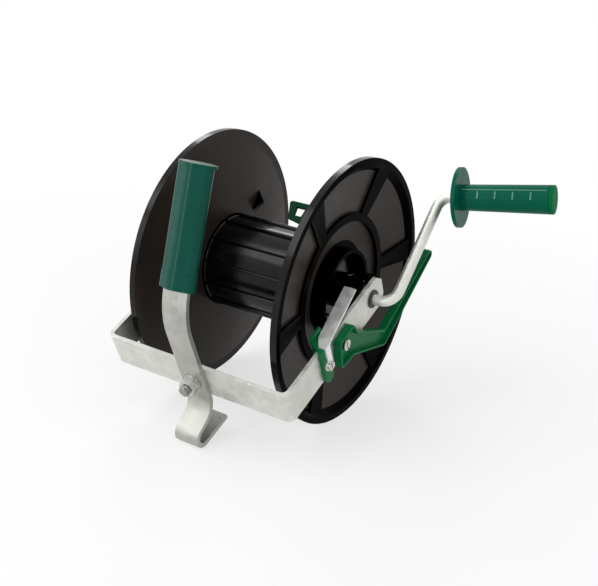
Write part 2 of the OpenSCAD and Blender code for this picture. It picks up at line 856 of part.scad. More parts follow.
// Eye for the inner end of the line, fixed to the lug
module line_hook() {
    low_near = [eye_near, -eye_low];
    low_far = [eye_far, -eye_low];
    high_back = [eye_back, eye_back_high];
    high_near = [eye_near, eye_high];
    color("green") hook_place() linear_extrude(hook_t, center = true) difference() {
        union() {
            hook_root_plan(hook_bar_r);
            limb(low_near, eye_corner, low_far, eye_corner);
            limb(low_far, eye_corner, high_back, eye_corner);
            limb(high_back, eye_corner, high_near, eye_corner);
            limb(high_near, eye_corner, low_near, eye_corner);
            polygon([low_near, low_far, high_back, high_near]);
        }
        polygon([[eye_near, -hole_low], [hole_far, -hole_low],
            [hole_back, hole_high], [eye_near, hole_high]]);
    }
}

// Axle and crank

module bend(r, turn) {
    rotate_extrude(angle = turn) translate([r, 0]) circle(rod_r);
}

module crank_rod() {
    rod_end = grip_start + grip_len - cap_t - clip_t;
    color("silver") difference() {
        crank_side() {
            axle_rod(rod_r, -arm_left - rod_tail, crank_out - crank_bend);
            translate([crank_out - crank_bend, 0, crank_bend]) rotate([90, 0, 0]) rotate(-90)
                bend(crank_bend, 90);
            translate([crank_out, 0, crank_bend]) cylinder(r = rod_r, h = crank_arm);
            translate([crank_out + crank_bend, 0, bend_top]) rotate([90, 0, 0]) rotate(90 + grip_lean) {
                bend(crank_bend, 90 - grip_lean);
                translate([crank_bend, 0, 0]) rotate([90, 0, 0])
                    cylinder(r = rod_r, h = rod_end - bend_short);
            }
        }
        translate([floor_out + drive_pin_up, 0, -2 * rod_r])
            cylinder(r = drive_pin_r + press_gap, h = 4 * rod_r);
        translate([-split_x, 0, -2 * rod_r]) cylinder(r = split_r + press_gap, h = 4 * rod_r);
    }
}

module drive_pin() {
    color("gray") translate([floor_out + drive_pin_up, 0, -boss_r])
        cylinder(r = drive_pin_r, h = 2 * boss_r);
}

module thrust_washers() {
    color("silver") {
        ring_plate(thrust_r, rod_r + press_gap, thrust_t, boss_end_right + face_gap);
        ring_plate(thrust_r, rod_r + press_gap, thrust_t, -boss_end_left - face_gap - thrust_t);
    }
}

module end_washer() {
    color("silver") ring_plate(thrust_r, rod_r + press_gap, thrust_t, -end_washer_x - thrust_t);
}

module split_pin() {
    color("gray") translate([-split_x, 0, -split_len / 2]) {
        cylinder(r = split_r, h = split_len);
        translate([0, 0, split_len + split_eye_r]) rotate([0, 90, 0])
            rotate_extrude() translate([split_eye_r, 0]) circle(split_r);
    }
}

module grip_clip() {
    clip_z = grip_start + grip_len - cap_t - clip_pocket + face_gap;
    color("gray") grip_line() translate([0, 0, clip_z]) difference() {
        cylinder(r = clip_r, h = clip_t);
        translate([0, 0, -overrun]) cylinder(r = rod_r + press_gap, h = clip_t + 2 * overrun);
    }
}

module crank_grip() {
    sleeve = grip_len - cap_t;
    tick_pitch = (sleeve - guard_t) / tick_count;
    taper = (grip_end_r - grip_r) / sleeve;
    color("darkgreen") grip_line() translate([0, 0, grip_start]) difference() {
        union() {
            cylinder(r = guard_r, h = guard_t);
            cylinder(r1 = grip_r, r2 = grip_end_r, h = sleeve);
            for (tick = [0 : tick_count - 1]) {
                tick_z = guard_t + tick * tick_pitch;
                rotate(tick_turn) translate([grip_r / 2, -tick_len / 2, tick_z])
                    cube([grip_r / 2 + taper * tick_z + tick_h, tick_len, tick_w]);
            }
        }
        translate([0, 0, -overrun]) cylinder(r = rod_r + run_gap, h = sleeve + 2 * overrun);
        translate([0, 0, sleeve - clip_pocket]) cylinder(r = clip_pocket_r, h = clip_pocket + overrun);
    }
}

module grip_cap() {
    color("green") grip_line() translate([0, 0, grip_start + grip_len - cap_t])
        cylinder(r = grip_end_r, h = cap_t);
}

// Lock lever and pawl

// Outline of the lever about its pivot, with every radius taken in by the same amount
module lever_plan(inset) {
    knee = [-knee_along, knee_up];
    brow = [brow_along, brow_up];
    toe = [-toe_along, -toe_down];
    root = [root_along, -root_down];
    elbow = [elbow_along, -elbow_down];
    tip = [tip_along, -tip_down];
    limb(knee, head_corner - inset, brow, head_corner - inset);
    limb(knee, head_corner - inset, toe, head_corner - inset);
    limb(toe, head_corner - inset, root, root_r - inset);
    limb(brow, head_corner - inset, root, root_r - inset);
    limb(root, root_r - inset, elbow, elbow_r - inset);
    limb(elbow, elbow_r - inset, tip, tip_r - inset);
    polygon([knee, toe, root, brow]);
}

module pivot_line() {
    tilted() translate([0, -pivot_ahead, 0]) children();
}

// Lever with the shaft that goes through the arm
module lock_lever() {
    color("seagreen") pivot_line() difference() {
        union() {
            difference() {
                along_axle(lever_t, lever_in) lever_plan(0);
                along_axle(lever_t, lever_in + lever_floor) lever_plan(lever_edge);
            }
            axle_rod(pivot_boss_r, lever_in, lever_in + pivot_boss_h);
            axle_rod(shaft_r, cam_out, lever_in + lever_floor);
        }
        axle_rod(pivot_r + press_gap, cam_out - overrun, lever_in + lever_t);
    }
}

// Cam under the pawl blade, held to the end of the lever's shaft
module lift_cam() {
    color("seagreen") pivot_line() difference() {
        along_axle(cam_t, cam_out - cam_t) limb([0, 0], cam_root_r, [cam_along, cam_up], cam_r);
        axle_rod(pivot_r + press_gap, cam_out - cam_t - overrun, cam_out + overrun);
    }
}

module pivot_screw() {
    head_seat = lever_in + pivot_boss_h;
    reach = head_seat - cam_out + cam_t + pivot_nut_h;
    color("silver") pivot_line() translate([head_seat, 0, 0])
        rotate([0, 90, 0]) pan_screw(pivot_r, reach, pivot_head_r, pivot_head_h);
}

module pivot_nut() {
    color("silver") pivot_line() translate([cam_out - cam_t - pivot_nut_h, 0, 0]) difference() {
        rotate([0, 90, 0]) linear_extrude(pivot_nut_h) hexagon(pivot_nut_af);
        axle_rod(pivot_r + press_gap, -overrun, pivot_nut_h + overrun);
    }
}

// Outer plate of the saddle, a tongue with a round foot
module tongue_plan() {
    tongue_r = saddle_len / 2;
    translate([-tongue_r, -saddle_drop + tongue_r]) square([saddle_len, saddle_drop - tongue_r + blade_z]);
    translate([0, -saddle_drop + tongue_r]) circle(tongue_r);
}

module lever_saddle() {
    block_end = block_start + block_len;
    color("seagreen") tilted() translate([0, -saddle_ahead, 0]) difference() {
        union() {
            along_axle(saddle_t, arm_right) tongue_plan();
            translate([0, 0, arm_top]) linear_extrude(bridge_t) polygon([
                [arm_in - saddle_in, block_start],
                [arm_right + saddle_t, -saddle_len / 2],
                [arm_right + saddle_t, saddle_len / 2],
                [arm_in - saddle_in, block_end]
            ]);
            translate([arm_in - saddle_in, block_start, -arm_top])
                cube([saddle_in, block_len, 2 * arm_top + bridge_t]);
            translate([arm_in - saddle_in, block_start, 0])
                cube([guide_t, guide_len, blade_z + guide_up]);
        }
        axle_rod(saddle_screw_r + press_gap, arm_right - overrun, arm_right + saddle_t + overrun);
    }
}

module saddle_screw() {
    reach = leaf_t + saddle_t + bar_t;
    color("silver") tilted() translate([arm_right + saddle_t + leaf_t, -saddle_ahead, 0]) rotate([0, 90, 0])
        pan_screw(saddle_screw_r, reach, saddle_head_r, saddle_head_h);
}

// Fixed end of the spring leaf: a tab with an eye on the saddle's plate, bent over the bridge
module leaf_tab() {
    outer = arm_right + saddle_t;
    tab_front = tab_mid - tab_w / 2;
    hinge = saddle_ahead - blade_ahead - face_gap;
    color("silver") tilted() translate([0, -saddle_ahead, 0]) difference() {
        union() {
            translate([outer, tab_front, 0]) cube([leaf_t, tab_w, blade_z + leaf_t]);
            axle_rod(tab_eye_r, outer, outer + leaf_t);
            translate([0, 0, blade_z]) linear_extrude(leaf_t) polygon([
                [blade_out - blade_w / 2, hinge],
                [blade_out, tab_front],
                [outer + leaf_t, tab_front],
                [outer + leaf_t, tab_front + tab_w],
                [blade_out + blade_w / 2, hinge]
            ]);
        }
        axle_rod(saddle_screw_r + press_gap, outer - overrun, outer + leaf_t + overrun);
    }
}

// Free end of the spring leaf, in a plan of axle distance against back distance
module blade_plan() {
    polygon([
        [blade_out - blade_w / 2, -blade_ahead],
        [blade_out + blade_w / 2, -blade_ahead],
        [blade_out - blade_drift + blade_w / 2, -blade_tip],
        [blade_out - blade_drift - blade_w / 2, -blade_tip]
    ]);
}

module pawl_blade() {
    color("silver") tilted() translate([0, 0, blade_z]) linear_extrude(leaf_t) blade_plan();
}

u_frame();
axle_bushes();
handle_strap();
hand_grip();
handle_bolt();
handle_nut();
handle_washer();
lever_saddle();
saddle_screw();
leaf_tab();
flange_left();
flange_right();
barrel();
flange_screws();
line_hook();
crank_rod();
drive_pin();
thrust_washers();
end_washer();
split_pin();
grip_clip();
crank_grip();
grip_cap();
lock_lever();
lift_cam();
pivot_screw();
pivot_nut();
pawl_blade();
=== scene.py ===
import math

import bmesh
import bpy
from mathutils import Matrix, Vector


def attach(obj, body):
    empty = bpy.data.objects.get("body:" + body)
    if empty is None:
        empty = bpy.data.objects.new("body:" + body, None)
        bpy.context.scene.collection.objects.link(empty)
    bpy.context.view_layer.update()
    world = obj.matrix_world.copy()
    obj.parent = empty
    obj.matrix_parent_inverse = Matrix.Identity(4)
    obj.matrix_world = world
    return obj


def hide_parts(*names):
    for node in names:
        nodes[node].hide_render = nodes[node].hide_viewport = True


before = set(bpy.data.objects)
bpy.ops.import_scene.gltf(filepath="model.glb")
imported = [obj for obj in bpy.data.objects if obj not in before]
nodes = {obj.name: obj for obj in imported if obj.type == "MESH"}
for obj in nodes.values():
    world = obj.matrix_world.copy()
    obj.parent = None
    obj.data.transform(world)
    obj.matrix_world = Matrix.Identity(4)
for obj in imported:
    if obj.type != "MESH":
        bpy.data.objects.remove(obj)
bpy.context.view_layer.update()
scene = bpy.context.scene
scene.view_settings.view_transform = "Standard"
mm = 0.001


# small helpers

def linearColour(hexText):
    parts = [int(hexText[i:i + 2], 16) / 255 for i in (1, 3, 5)]
    return [c / 12.92 if c <= 0.04045 else ((c + 0.055) / 1.055) ** 2.4 for c in parts] + [1.0]


def addNode(tree, kind, attrs=None, **inputs):
    node = tree.nodes.new(kind)
    for key, value in (attrs or {}).items():
        setattr(node, key, value)
    for key, value in inputs.items():
        name = key.replace("_", " ")
        byNumber = name.startswith("in") and name[2:].isdigit()  # in0, in1 ... pick a socket by its place
        socket = node.inputs[int(name[2:])] if byNumber else node.inputs[name]
        if isinstance(value, bpy.types.NodeSocket):
            tree.links.new(value, socket)
        else:
            socket.default_value = value
    return node


def newMaterial(name):
    mat = bpy.data.materials.new(name)
    mat.use_nodes = True
    tree = mat.node_tree
    coords = addNode(tree, "ShaderNodeTexCoord").outputs["Object"]
    return mat, tree, tree.nodes["Principled BSDF"], coords


def perMetre(sizeMm):
    return 1 / (sizeMm * mm)  # texture scale that gives features of about this size


# materials

def galvanisedSteel(name, pale, dull):
    # hot-dip galvanised steel: even pale grey with faint zinc crystals, soft sheen and a few duller clouds
    look = {"spangleMm": 6, "warpMm": 4, "crystalShare": 0.3, "cloudMm": 30, "cloudRelief": 0.2,
            "cloudDeepMm": 0.8, "pitMm": 0.9, "pitRelief": 0.1, "pitDeepMm": 0.3, "smoothest": 0.4,
            "roughSpread": 0.12, "metal": 0.75}
    mat, tree, shader, coords = newMaterial(name)
    warp = addNode(tree, "ShaderNodeTexNoise", Vector=coords, Scale=perMetre(look["spangleMm"]), Detail=2.0)
    bent = addNode(tree, "ShaderNodeVectorMath", {"operation": "MULTIPLY_ADD"}, in0=warp.outputs["Color"],
                   in1=(look["warpMm"] * mm,) * 3, in2=coords)
    spangle = addNode(tree, "ShaderNodeTexVoronoi", {"feature": "F1"}, Vector=bent.outputs["Vector"],
                      Scale=perMetre(look["spangleMm"]))
    crystal = addNode(tree, "ShaderNodeSeparateColor", Color=spangle.outputs["Color"]).outputs["Red"]
    cloud = addNode(tree, "ShaderNodeTexNoise", Vector=coords, Scale=perMetre(look["cloudMm"]), Detail=5.0,
                    Roughness=0.6).outputs["Fac"]
    tone = addNode(tree, "ShaderNodeMath", {"operation": "MULTIPLY_ADD", "use_clamp": True}, in0=crystal,
                   in1=look["crystalShare"], in2=cloud).outputs["Value"]
    colour = addNode(tree, "ShaderNodeMix", {"data_type": "RGBA"}, in0=tone, in6=linearColour(dull),
                     in7=linearColour(pale))
    tree.links.new(colour.outputs[2], shader.inputs["Base Color"])
    rough = addNode(tree, "ShaderNodeMath", {"operation": "MULTIPLY_ADD"}, in0=crystal,
                    in1=look["roughSpread"], in2=look["smoothest"])
    tree.links.new(rough.outputs["Value"], shader.inputs["Roughness"])
    pits = addNode(tree, "ShaderNodeTexNoise", Vector=coords, Scale=perMetre(look["pitMm"]), Detail=3.0)
    fine = addNode(tree, "ShaderNodeBump", Height=pits.outputs["Fac"], Strength=look["pitRelief"],
                   Distance=look["pitDeepMm"] * mm)
    broad = addNode(tree, "ShaderNodeBump", Height=cloud, Strength=look["cloudRelief"],
                    Distance=look["cloudDeepMm"] * mm, Normal=fine.outputs["Normal"])
    tree.links.new(broad.outputs["Normal"], shader.inputs["Normal"])
    shader.inputs["Metallic"].default_value = look["metal"]
    return mat


def platedSteel(name, pale, dark, roughness):
    # zinc or nickel plated hardware: brighter than the frame, faint mottling where it has been handled
    look = {"mottleMm": 3, "roughSpread": 0.12, "grainMm": 0.5, "grainRelief": 0.08, "grainDeepMm": 0.1}
    mat, tree, shader, coords = newMaterial(name)
    mottle = addNode(tree, "ShaderNodeTexNoise", Vector=coords, Scale=perMetre(look["mottleMm"]),
                     Detail=4.0).outputs["Fac"]
    colour = addNode(tree, "ShaderNodeMix", {"data_type": "RGBA"}, in0=mottle, in6=linearColour(dark),
                     in7=linearColour(pale))
    tree.links.new(colour.outputs[2], shader.inputs["Base Color"])
    rough = addNode(tree, "ShaderNodeMapRange", Value=mottle, From_Min=0.3, From_Max=0.7,
                    To_Min=roughness + look["roughSpread"], To_Max=roughness)
    tree.links.new(rough.outputs["Result"], shader.inputs["Roughness"])
    grain = addNode(tree, "ShaderNodeTexNoise", Vector=coords, Scale=perMetre(look["grainMm"]), Detail=2.0)
    relief = addNode(tree, "ShaderNodeBump", Height=grain.outputs["Fac"], Strength=look["grainRelief"],
                     Distance=look["grainDeepMm"] * mm)
    tree.links.new(relief.outputs["Normal"], shader.inputs["Normal"])
    shader.inputs["Metallic"].default_value = 1.0
    return mat


def mouldedPlastic(name, pale, dark, roughness, grainMm, grainDepth, gloss=0.5):
    # injection moulded polymer: even colour, slow flow shading, a fine mould texture and a few duller rubs
    look = {"flowMm": 45, "rubMm": 9, "polished": 0.04, "rubbed": 0.1, "grainDeepMm": 0.2}
    mat, tree, shader, coords = newMaterial(name)
    flow = addNode(tree, "ShaderNodeTexNoise", Vector=coords, Scale=perMetre(look["flowMm"]),
                   Detail=3.0).outputs["Fac"]
    colour = addNode(tree, "ShaderNodeMix", {"data_type": "RGBA"}, in0=flow, in6=linearColour(dark),
                     in7=linearColour(pale))
    tree.links.new(colour.outputs[2], shader.inputs["Base Color"])
    rub = addNode(tree, "ShaderNodeTexNoise", Vector=coords, Scale=perMetre(look["rubMm"]), Detail=6.0,
                  Roughness=0.65).outputs["Fac"]
    rough = addNode(tree, "ShaderNodeMapRange", Value=rub, From_Min=0.35, From_Max=0.75,
                    To_Min=roughness - look["polished"], To_Max=roughness + look["rubbed"])
    tree.links.new(rough.outputs["Result"], shader.inputs["Roughness"])
    grain = addNode(tree, "ShaderNodeTexNoise", Vector=coords, Scale=perMetre(grainMm), Detail=2.0)
    relief = addNode(tree, "ShaderNodeBump", Height=grain.outputs["Fac"], Strength=grainDepth,
                     Distance=look["grainDeepMm"] * mm)
    tree.links.new(relief.outputs["Normal"], shader.inputs["Normal"])
    shader.inputs["Specular IOR Level"].default_value = gloss
    return mat


finishes = {
    # bare metal: pale frame, a greyer copy on the strap that is painted shade, a brighter copy on the rod
    # that is painted light, and a pale spring leaf
    "galvanised": galvanisedSteel("galvanised steel, hot dipped", "#dedfd9", "#b2b3ad"),
    "galvanisedShade": galvanisedSteel("galvanised steel, darker copy painted as shade", "#b9bab4", "#8b8c86"),
    "galvanisedLit": galvanisedSteel("galvanised steel rod, bright", "#e8e9e3", "#c0c1bb"),
    "leaf": galvanisedSteel("galvanised spring steel, pale", "#f1f3f1", "#d3d6d4"),
    # small hardware: clear reflections, duller on the bolt and its thread
    "zinc": platedSteel("zinc plated steel, bright", "#d9d9d6", "#a8a8a5", 0.24),
    "zincDull": platedSteel("zinc plated steel, dull thread", "#b0afab", "#7a7975", 0.38),
    "spring": platedSteel("spring steel, nickel plated", "#d4d5d5", "#9a9b9b", 0.3),
    # greens: deep on the grips, a pale painted highlight on the crank grip's seams and ticks, brighter on
    # lever and cap, darkened on the line eye as painted shade
    "gripGreen": mouldedPlastic("grip polymer, deep green", "#034c3f", "#023d32", 0.28, 1.4, 0.05, 0.13),
    "crankGreen": mouldedPlastic("crank grip polymer, green", "#04604a", "#03503d", 0.3, 1.4, 0.05, 0.05),
    "highlightGreen": mouldedPlastic("grip polymer, rubbed pale on its ridges", "#5f9a89", "#3f7d6b", 0.35, 1.4,
                                0.05, 0.2),
    "leverGreen": mouldedPlastic("lever nylon, mid green", "#087041", "#065f35", 0.34, 1.0, 0.05, 0.1),
    "capGreen": mouldedPlastic("cap polymer, mid green", "#08703f", "#066035", 0.5, 1.0, 0.05, 0.02),
    "shadedEyeGreen": mouldedPlastic("line eye polymer, green darkened as painted shade", "#02371f", "#012a17", 0.34, 1.0, 0.05, 0.05),
    # drum: crisp reflections on barrel, rim edge and hub, plain black spokes, brown-grey panels whose colour
    # is a painted sheen on the black plastic
    "drumGloss": mouldedPlastic("drum polypropylene, polished black", "#020202", "#010101", 0.16, 2.0,
                                0.03, 0.23),
    "drumRaised": mouldedPlastic("drum polypropylene, worn smooth", "#010101", "#010101", 0.3, 2.0,
                                 0.03, 0.01),
    "drumPanelSheen": mouldedPlastic("drum polypropylene, satin panel with painted sheen", "#332c27", "#29231f", 0.32, 2.0,
                                0.04, 0.1),
    # bushes: dull near-black
    "nylon": mouldedPlastic("bearing nylon, dark", "#1b1b1c", "#121213", 0.45, 1.0, 0.05),
}
print("materials", len(finishes))


# pieces taken over from the CAD solids, with the edge rounding of the real ones

edge = {"weldMm": 0.004, "flatAngle": 0.4, "creaseAngle": 32, "segments": 2}


def mergedMesh(nodeName):
    bm = bmesh.new()
    bm.from_mesh(nodes[nodeName].data)
    bmesh.ops.remove_doubles(bm, verts=bm.verts, dist=edge["weldMm"] * mm)
    bmesh.ops.dissolve_limit(bm, angle_limit=math.radians(edge["flatAngle"]), verts=bm.verts,
                             edges=bm.edges)
    mesh = bpy.data.meshes.new(nodeName + ".merged")
    bm.to_mesh(mesh)
    bm.free()
    for name in ("custom_normal", "sharp_face", "sharp_edge"):
        if name in mesh.attributes:
            mesh.attributes.remove(mesh.attributes[name])
    return mesh


def plainMesh(obj):
    bpy.context.view_layer.update()
    depsgraph = bpy.context.evaluated_depsgraph_get()
    mesh = bpy.data.meshes.new_from_object(obj.evaluated_get(depsgraph))
    obj.modifiers.clear()
    obj.data = mesh
    return mesh


def smoothSides(mesh):
    mesh.shade_smooth()
    mesh.set_sharp_from_angle(angle=math.radians(edge["creaseAngle"]))


def roundedPiece(pieceName, nodeName, body, slotName, finish, edgeMm):
    obj = bpy.data.objects.new(pieceName, mergedMesh(nodeName))
    scene.collection.objects.link(obj)
    bevel = obj.modifiers.new("edge", "BEVEL")
    bevel.width = edgeMm * mm
    bevel.segments = edge["segments"]
    bevel.limit_method = "ANGLE"
    bevel.angle_limit = math.radians(edge["creaseAngle"])
    smoothSides(plainMesh(obj))
    even = obj.modifiers.new("even", "WEIGHTED_NORMAL")
    even.keep_sharp = True
    mesh = plainMesh(obj)
    mesh.materials.clear()
    mesh.materials.append(finishes[finish])
    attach(obj, body)
    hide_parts(nodeName)
    return obj


roundedPieces = [
    # piece, node, body, record slot, finish, edge radius in mm
    ("frameBar", "u_frame", "frame", "galvanised", "galvanised", 0.9),
    # the strap's darker galvanised copy is painted shade
    ("handleStrap", "handle_strap", "frame", "galvanised", "galvanisedShade", 1.1),
    ("handGrip", "hand_grip", "frame", "grip_green", "gripGreen", 0.8),
    ("handleBolt", "handle_bolt", "frame", "zinc_plate", "zincDull", 0.5),
    ("handleNut", "handle_nut", "frame", "zinc_plate", "zinc", 0.5),
    ("handleWasher", "handle_washer", "frame", "zinc_plate", "zinc", 0.3),
    ("leverSaddle", "lever_saddle", "frame", "bright_green", "leverGreen", 0.8),
    ("saddleScrew", "saddle_screw", "frame", "zinc_plate", "zinc", 0.3),
    ("leafTab", "leaf_tab", "frame", "spring_steel", "leaf", 0.4),
    ("axleBushes", "axle_bushes", "frame", "nylon", "nylon", 0.3),
    ("tieScrews", "flange_screws", "drum", "zinc_plate", "zinc", 0.3),
    # the line eye's dark green copy is painted shade
    ("lineHook", "line_hook", "drum", "bright_green", "shadedEyeGreen", 0.7),
    # the rod's paler galvanised copy is painted light
    ("crankRod", "crank_rod", "drum", "galvanised", "galvanisedLit", 0.5),
    ("drivePin", "drive_pin", "drum", "spring_steel", "spring", 0.3),
    ("thrustWashers", "thrust_washers", "drum", "zinc_plate", "zinc", 0.25),
    ("endWasher", "end_washer", "drum", "zinc_plate", "zinc", 0.25),
    ("splitPin", "split_pin", "drum", "spring_steel", "spring", 0.2),
    ("gripClip", "grip_clip", "drum", "spring_steel", "spring", 0.2),
    ("crankGrip", "crank_grip", "grip", "grip_green", "crankGreen", 0.7),
    ("gripCap", "grip_cap", "grip", "bright_green", "capGreen", 1.0),
    ("lockLever", "lock_lever", "lever", "bright_green", "leverGreen", 0.7),
    ("liftCam", "lift_cam", "lever", "bright_green", "leverGreen", 0.6),
    ("pivotScrew", "pivot_screw", "lever", "zinc_plate", "zinc", 0.3),
    ("pivotNut", "pivot_nut", "lever", "zinc_plate", "zinc", 0.3),
    ("pawlBlade", "pawl_blade", "pawl", "spring_steel", "leaf", 0.4),
    ("flangeLeft", "flange_left", "drum", "drum_black", "drumRaised", 0.5),
    ("flangeRight", "flange_right", "drum", "drum_black", "drumRaised", 0.5),
]
pieces = {row[0]: roundedPiece(*row) for row in roundedPieces}
print("rounded pieces", len(pieces))


# the webs between spokes, ring and rim are satin and take a brown-grey painted sheen as their colour; the
# rim's edge and the hub inside its wall are polished

web = {"foot": 62.05, "footRadius": 46, "slope": 0.17313, "near": 0.45, "bands": [(40, 65.2), (72.6, 112.8)],
       "insideFrom": 44, "facing": -0.7, "edgeFrom": 124.3, "hubTo": 35.5, "panelSlot": 1, "glossSlot": 2}


def drumFaces(obj, side):
    mesh = obj.data
    mesh.materials.append(finishes["drumPanelSheen"])
    mesh.materials.append(finishes["drumGloss"])
    for face in mesh.polygons:
        corners = [mesh.vertices[i].co for i in face.vertices]
        radius = sum(math.hypot(c.y, c.z) for c in corners) / len(corners) / mm
        level = side * face.center.x / mm - (radius - web["footRadius"]) * web["slope"]
        outside = abs(level - web["foot"]) < web["near"] and any(a < radius < b for a, b in web["bands"])
        inside = side * face.normal.x < web["facing"] and radius > web["insideFrom"]
        if radius > web["edgeFrom"] or radius < web["hubTo"]:
            face.material_index = web["glossSlot"]
        elif outside or inside:
            face.material_index = web["panelSlot"]


drumFaces(pieces["flangeLeft"], -1)
drumFaces(pieces["flangeRight"], 1)
print("flange panels")


# pieces grown with geometry nodes

def growPiece(pieceName, buildTree, sizes, finish):
    tree = bpy.data.node_groups.new(pieceName + ".nodes", "GeometryNodeTree")
    sockets = {}
    for key, value in sizes.items():
        kind = "NodeSocketInt" if isinstance(value, int) else "NodeSocketFloat"
        sockets[key] = tree.interface.new_socket(name=key, in_out="INPUT", socket_type=kind)
    finishSocket = tree.interface.new_socket(name="finish", in_out="INPUT", socket_type="NodeSocketMaterial")
    tree.interface.new_socket(name="Geometry", in_out="OUTPUT", socket_type="NodeSocketGeometry")
    given = addNode(tree, "NodeGroupInput").outputs
    shape = buildTree(tree, given)
    real = addNode(tree, "GeometryNodeRealizeInstances", Geometry=shape)
    coated = addNode(tree, "GeometryNodeSetMaterial", Geometry=real.outputs[0], Material=given["finish"])
    addNode(tree, "NodeGroupOutput", Geometry=coated.outputs[0])
    obj = bpy.data.objects.new(pieceName, bpy.data.meshes.new(pieceName))
    scene.collection.objects.link(obj)
    grow = obj.modifiers.new("grow", "NODES")
    grow.node_group = tree
    for key, value in sizes.items():
        grow[sockets[key].identifier] = value
    grow[finishSocket.identifier] = finishes[finish]
    smoothSides(plainMesh(obj))
    return obj


barrelSizes = {"radius": 43 * mm, "length": 116.9 * mm, "ribs": 12, "turn": math.radians(17),
               "ribHeight": 3 * mm, "ribHalfWidth": 1.5 * mm, "bead": 1.2 * mm}
barrelSides = {"core": 192, "rib": 24, "bead": 16}


def barrelTree(tree, given):
    core = addNode(tree, "GeometryNodeMeshCylinder", Vertices=barrelSides["core"], Radius=given["radius"],
                   Depth=given["length"])
    number = addNode(tree, "GeometryNodeInputIndex").outputs["Index"]
    step = addNode(tree, "ShaderNodeMath", {"operation": "DIVIDE"}, in0=math.tau, in1=given["ribs"])
    angle = addNode(tree, "ShaderNodeMath", {"operation": "MULTIPLY_ADD"}, in0=number,
                    in1=step.outputs["Value"], in2=given["turn"]).outputs["Value"]
    turn = addNode(tree, "ShaderNodeCombineXYZ", Z=angle).outputs["Vector"]
    foot = addNode(tree, "ShaderNodeCombineXYZ", X=given["radius"]).outputs["Vector"]
    place = addNode(tree, "ShaderNodeVectorRotate", {"rotation_type": "Z_AXIS"}, Vector=foot, Angle=angle)
    spots = addNode(tree, "GeometryNodePoints", Count=given["ribs"], Position=place.outputs["Vector"])
    bar = addNode(tree, "GeometryNodeMeshCylinder", Vertices=barrelSides["rib"], Radius=1.0,
                  Depth=given["length"])
    flat = addNode(tree, "ShaderNodeCombineXYZ", X=given["ribHeight"], Y=given["ribHalfWidth"], Z=1.0)
    rib = addNode(tree, "GeometryNodeTransform", Geometry=bar.outputs["Mesh"], Scale=flat.outputs["Vector"])
    upright = addNode(tree, "FunctionNodeEulerToRotation", Euler=turn)
    ribs = addNode(tree, "GeometryNodeInstanceOnPoints", Points=spots.outputs[0],
                   Instance=rib.outputs["Geometry"], Rotation=upright.outputs["Rotation"])
    hoop = addNode(tree, "GeometryNodeCurvePrimitiveCircle", Resolution=barrelSides["core"],
                   Radius=given["radius"])
    cord = addNode(tree, "GeometryNodeCurvePrimitiveCircle", Resolution=barrelSides["bead"],
                   Radius=given["bead"])
    bead = addNode(tree, "GeometryNodeCurveToMesh", Curve=hoop.outputs["Curve"],
                   Profile_Curve=cord.outputs["Curve"])
    inset = addNode(tree, "ShaderNodeMath", {"operation": "MULTIPLY_ADD"}, in0=given["length"], in1=0.5,
                    in2=-barrelSizes["bead"]).outputs["Value"]
    joined = addNode(tree, "GeometryNodeJoinGeometry")
    for part in (core.outputs["Mesh"], ribs.outputs["Instances"]):
        tree.links.new(part, joined.inputs["Geometry"])
    for side in (-1.0, 1.0):
        reach = addNode(tree, "ShaderNodeMath", {"operation": "MULTIPLY"}, in0=inset, in1=side)
        end = addNode(tree, "ShaderNodeCombineXYZ", Z=reach.outputs["Value"])
        ring = addNode(tree, "GeometryNodeTransform", Geometry=bead.outputs["Mesh"],
                       Translation=end.outputs["Vector"])
        tree.links.new(ring.outputs["Geometry"], joined.inputs["Geometry"])
    lying = addNode(tree, "GeometryNodeTransform", Geometry=joined.outputs["Geometry"],
                    Rotation=(0, math.pi / 2, 0))
    return lying.outputs["Geometry"]


barrel = growPiece("barrel", barrelTree, barrelSizes, "drumGloss")
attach(barrel, "drum")
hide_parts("barrel")

threadSizes = {"radius": 4.45 * mm, "length": 4.6 * mm, "turns": 4.0, "depth": 0.55 * mm}
boltLine = {"tilt": 25.0783, "middle": 3.4, "front": 149.4, "nutEnd": 10.2}


def threadTree(tree, given):
    path = addNode(tree, "GeometryNodeCurveSpiral", Resolution=48, Rotations=given["turns"],
                   Start_Radius=given["radius"], End_Radius=given["radius"], Height=given["length"])
    profile = addNode(tree, "GeometryNodeCurvePrimitiveCircle", Resolution=6, Radius=given["depth"])
    ridge = addNode(tree, "GeometryNodeCurveToMesh", Curve=path.outputs["Curve"],
                    Profile_Curve=profile.outputs["Curve"], Fill_Caps=True)
    return ridge.outputs["Mesh"]


thread = growPiece("boltThread", threadTree, threadSizes, "zincDull")
thread.data.transform(Matrix.Rotation(math.radians(boltLine["tilt"]), 4, "X")
                      @ Matrix.Translation((boltLine["middle"] * mm, -boltLine["front"] * mm, 0))
                      @ Matrix.Rotation(math.radians(90), 4, "X")
                      @ Matrix.Translation((0, 0, boltLine["nutEnd"] * mm)))
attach(thread, "frame")

seamSizes = {"length": 78 * mm, "nearRadius": 12.1 * mm, "farRadius": 13.2 * mm, "width": 0.55 * mm,
             "seams": 2}
gripLine = {"turn": 46.9, "out": 121.3, "corner": 115.377, "lean": 11.8, "start": 21, "seamAt": -96,
            "tickRise": 0.25}


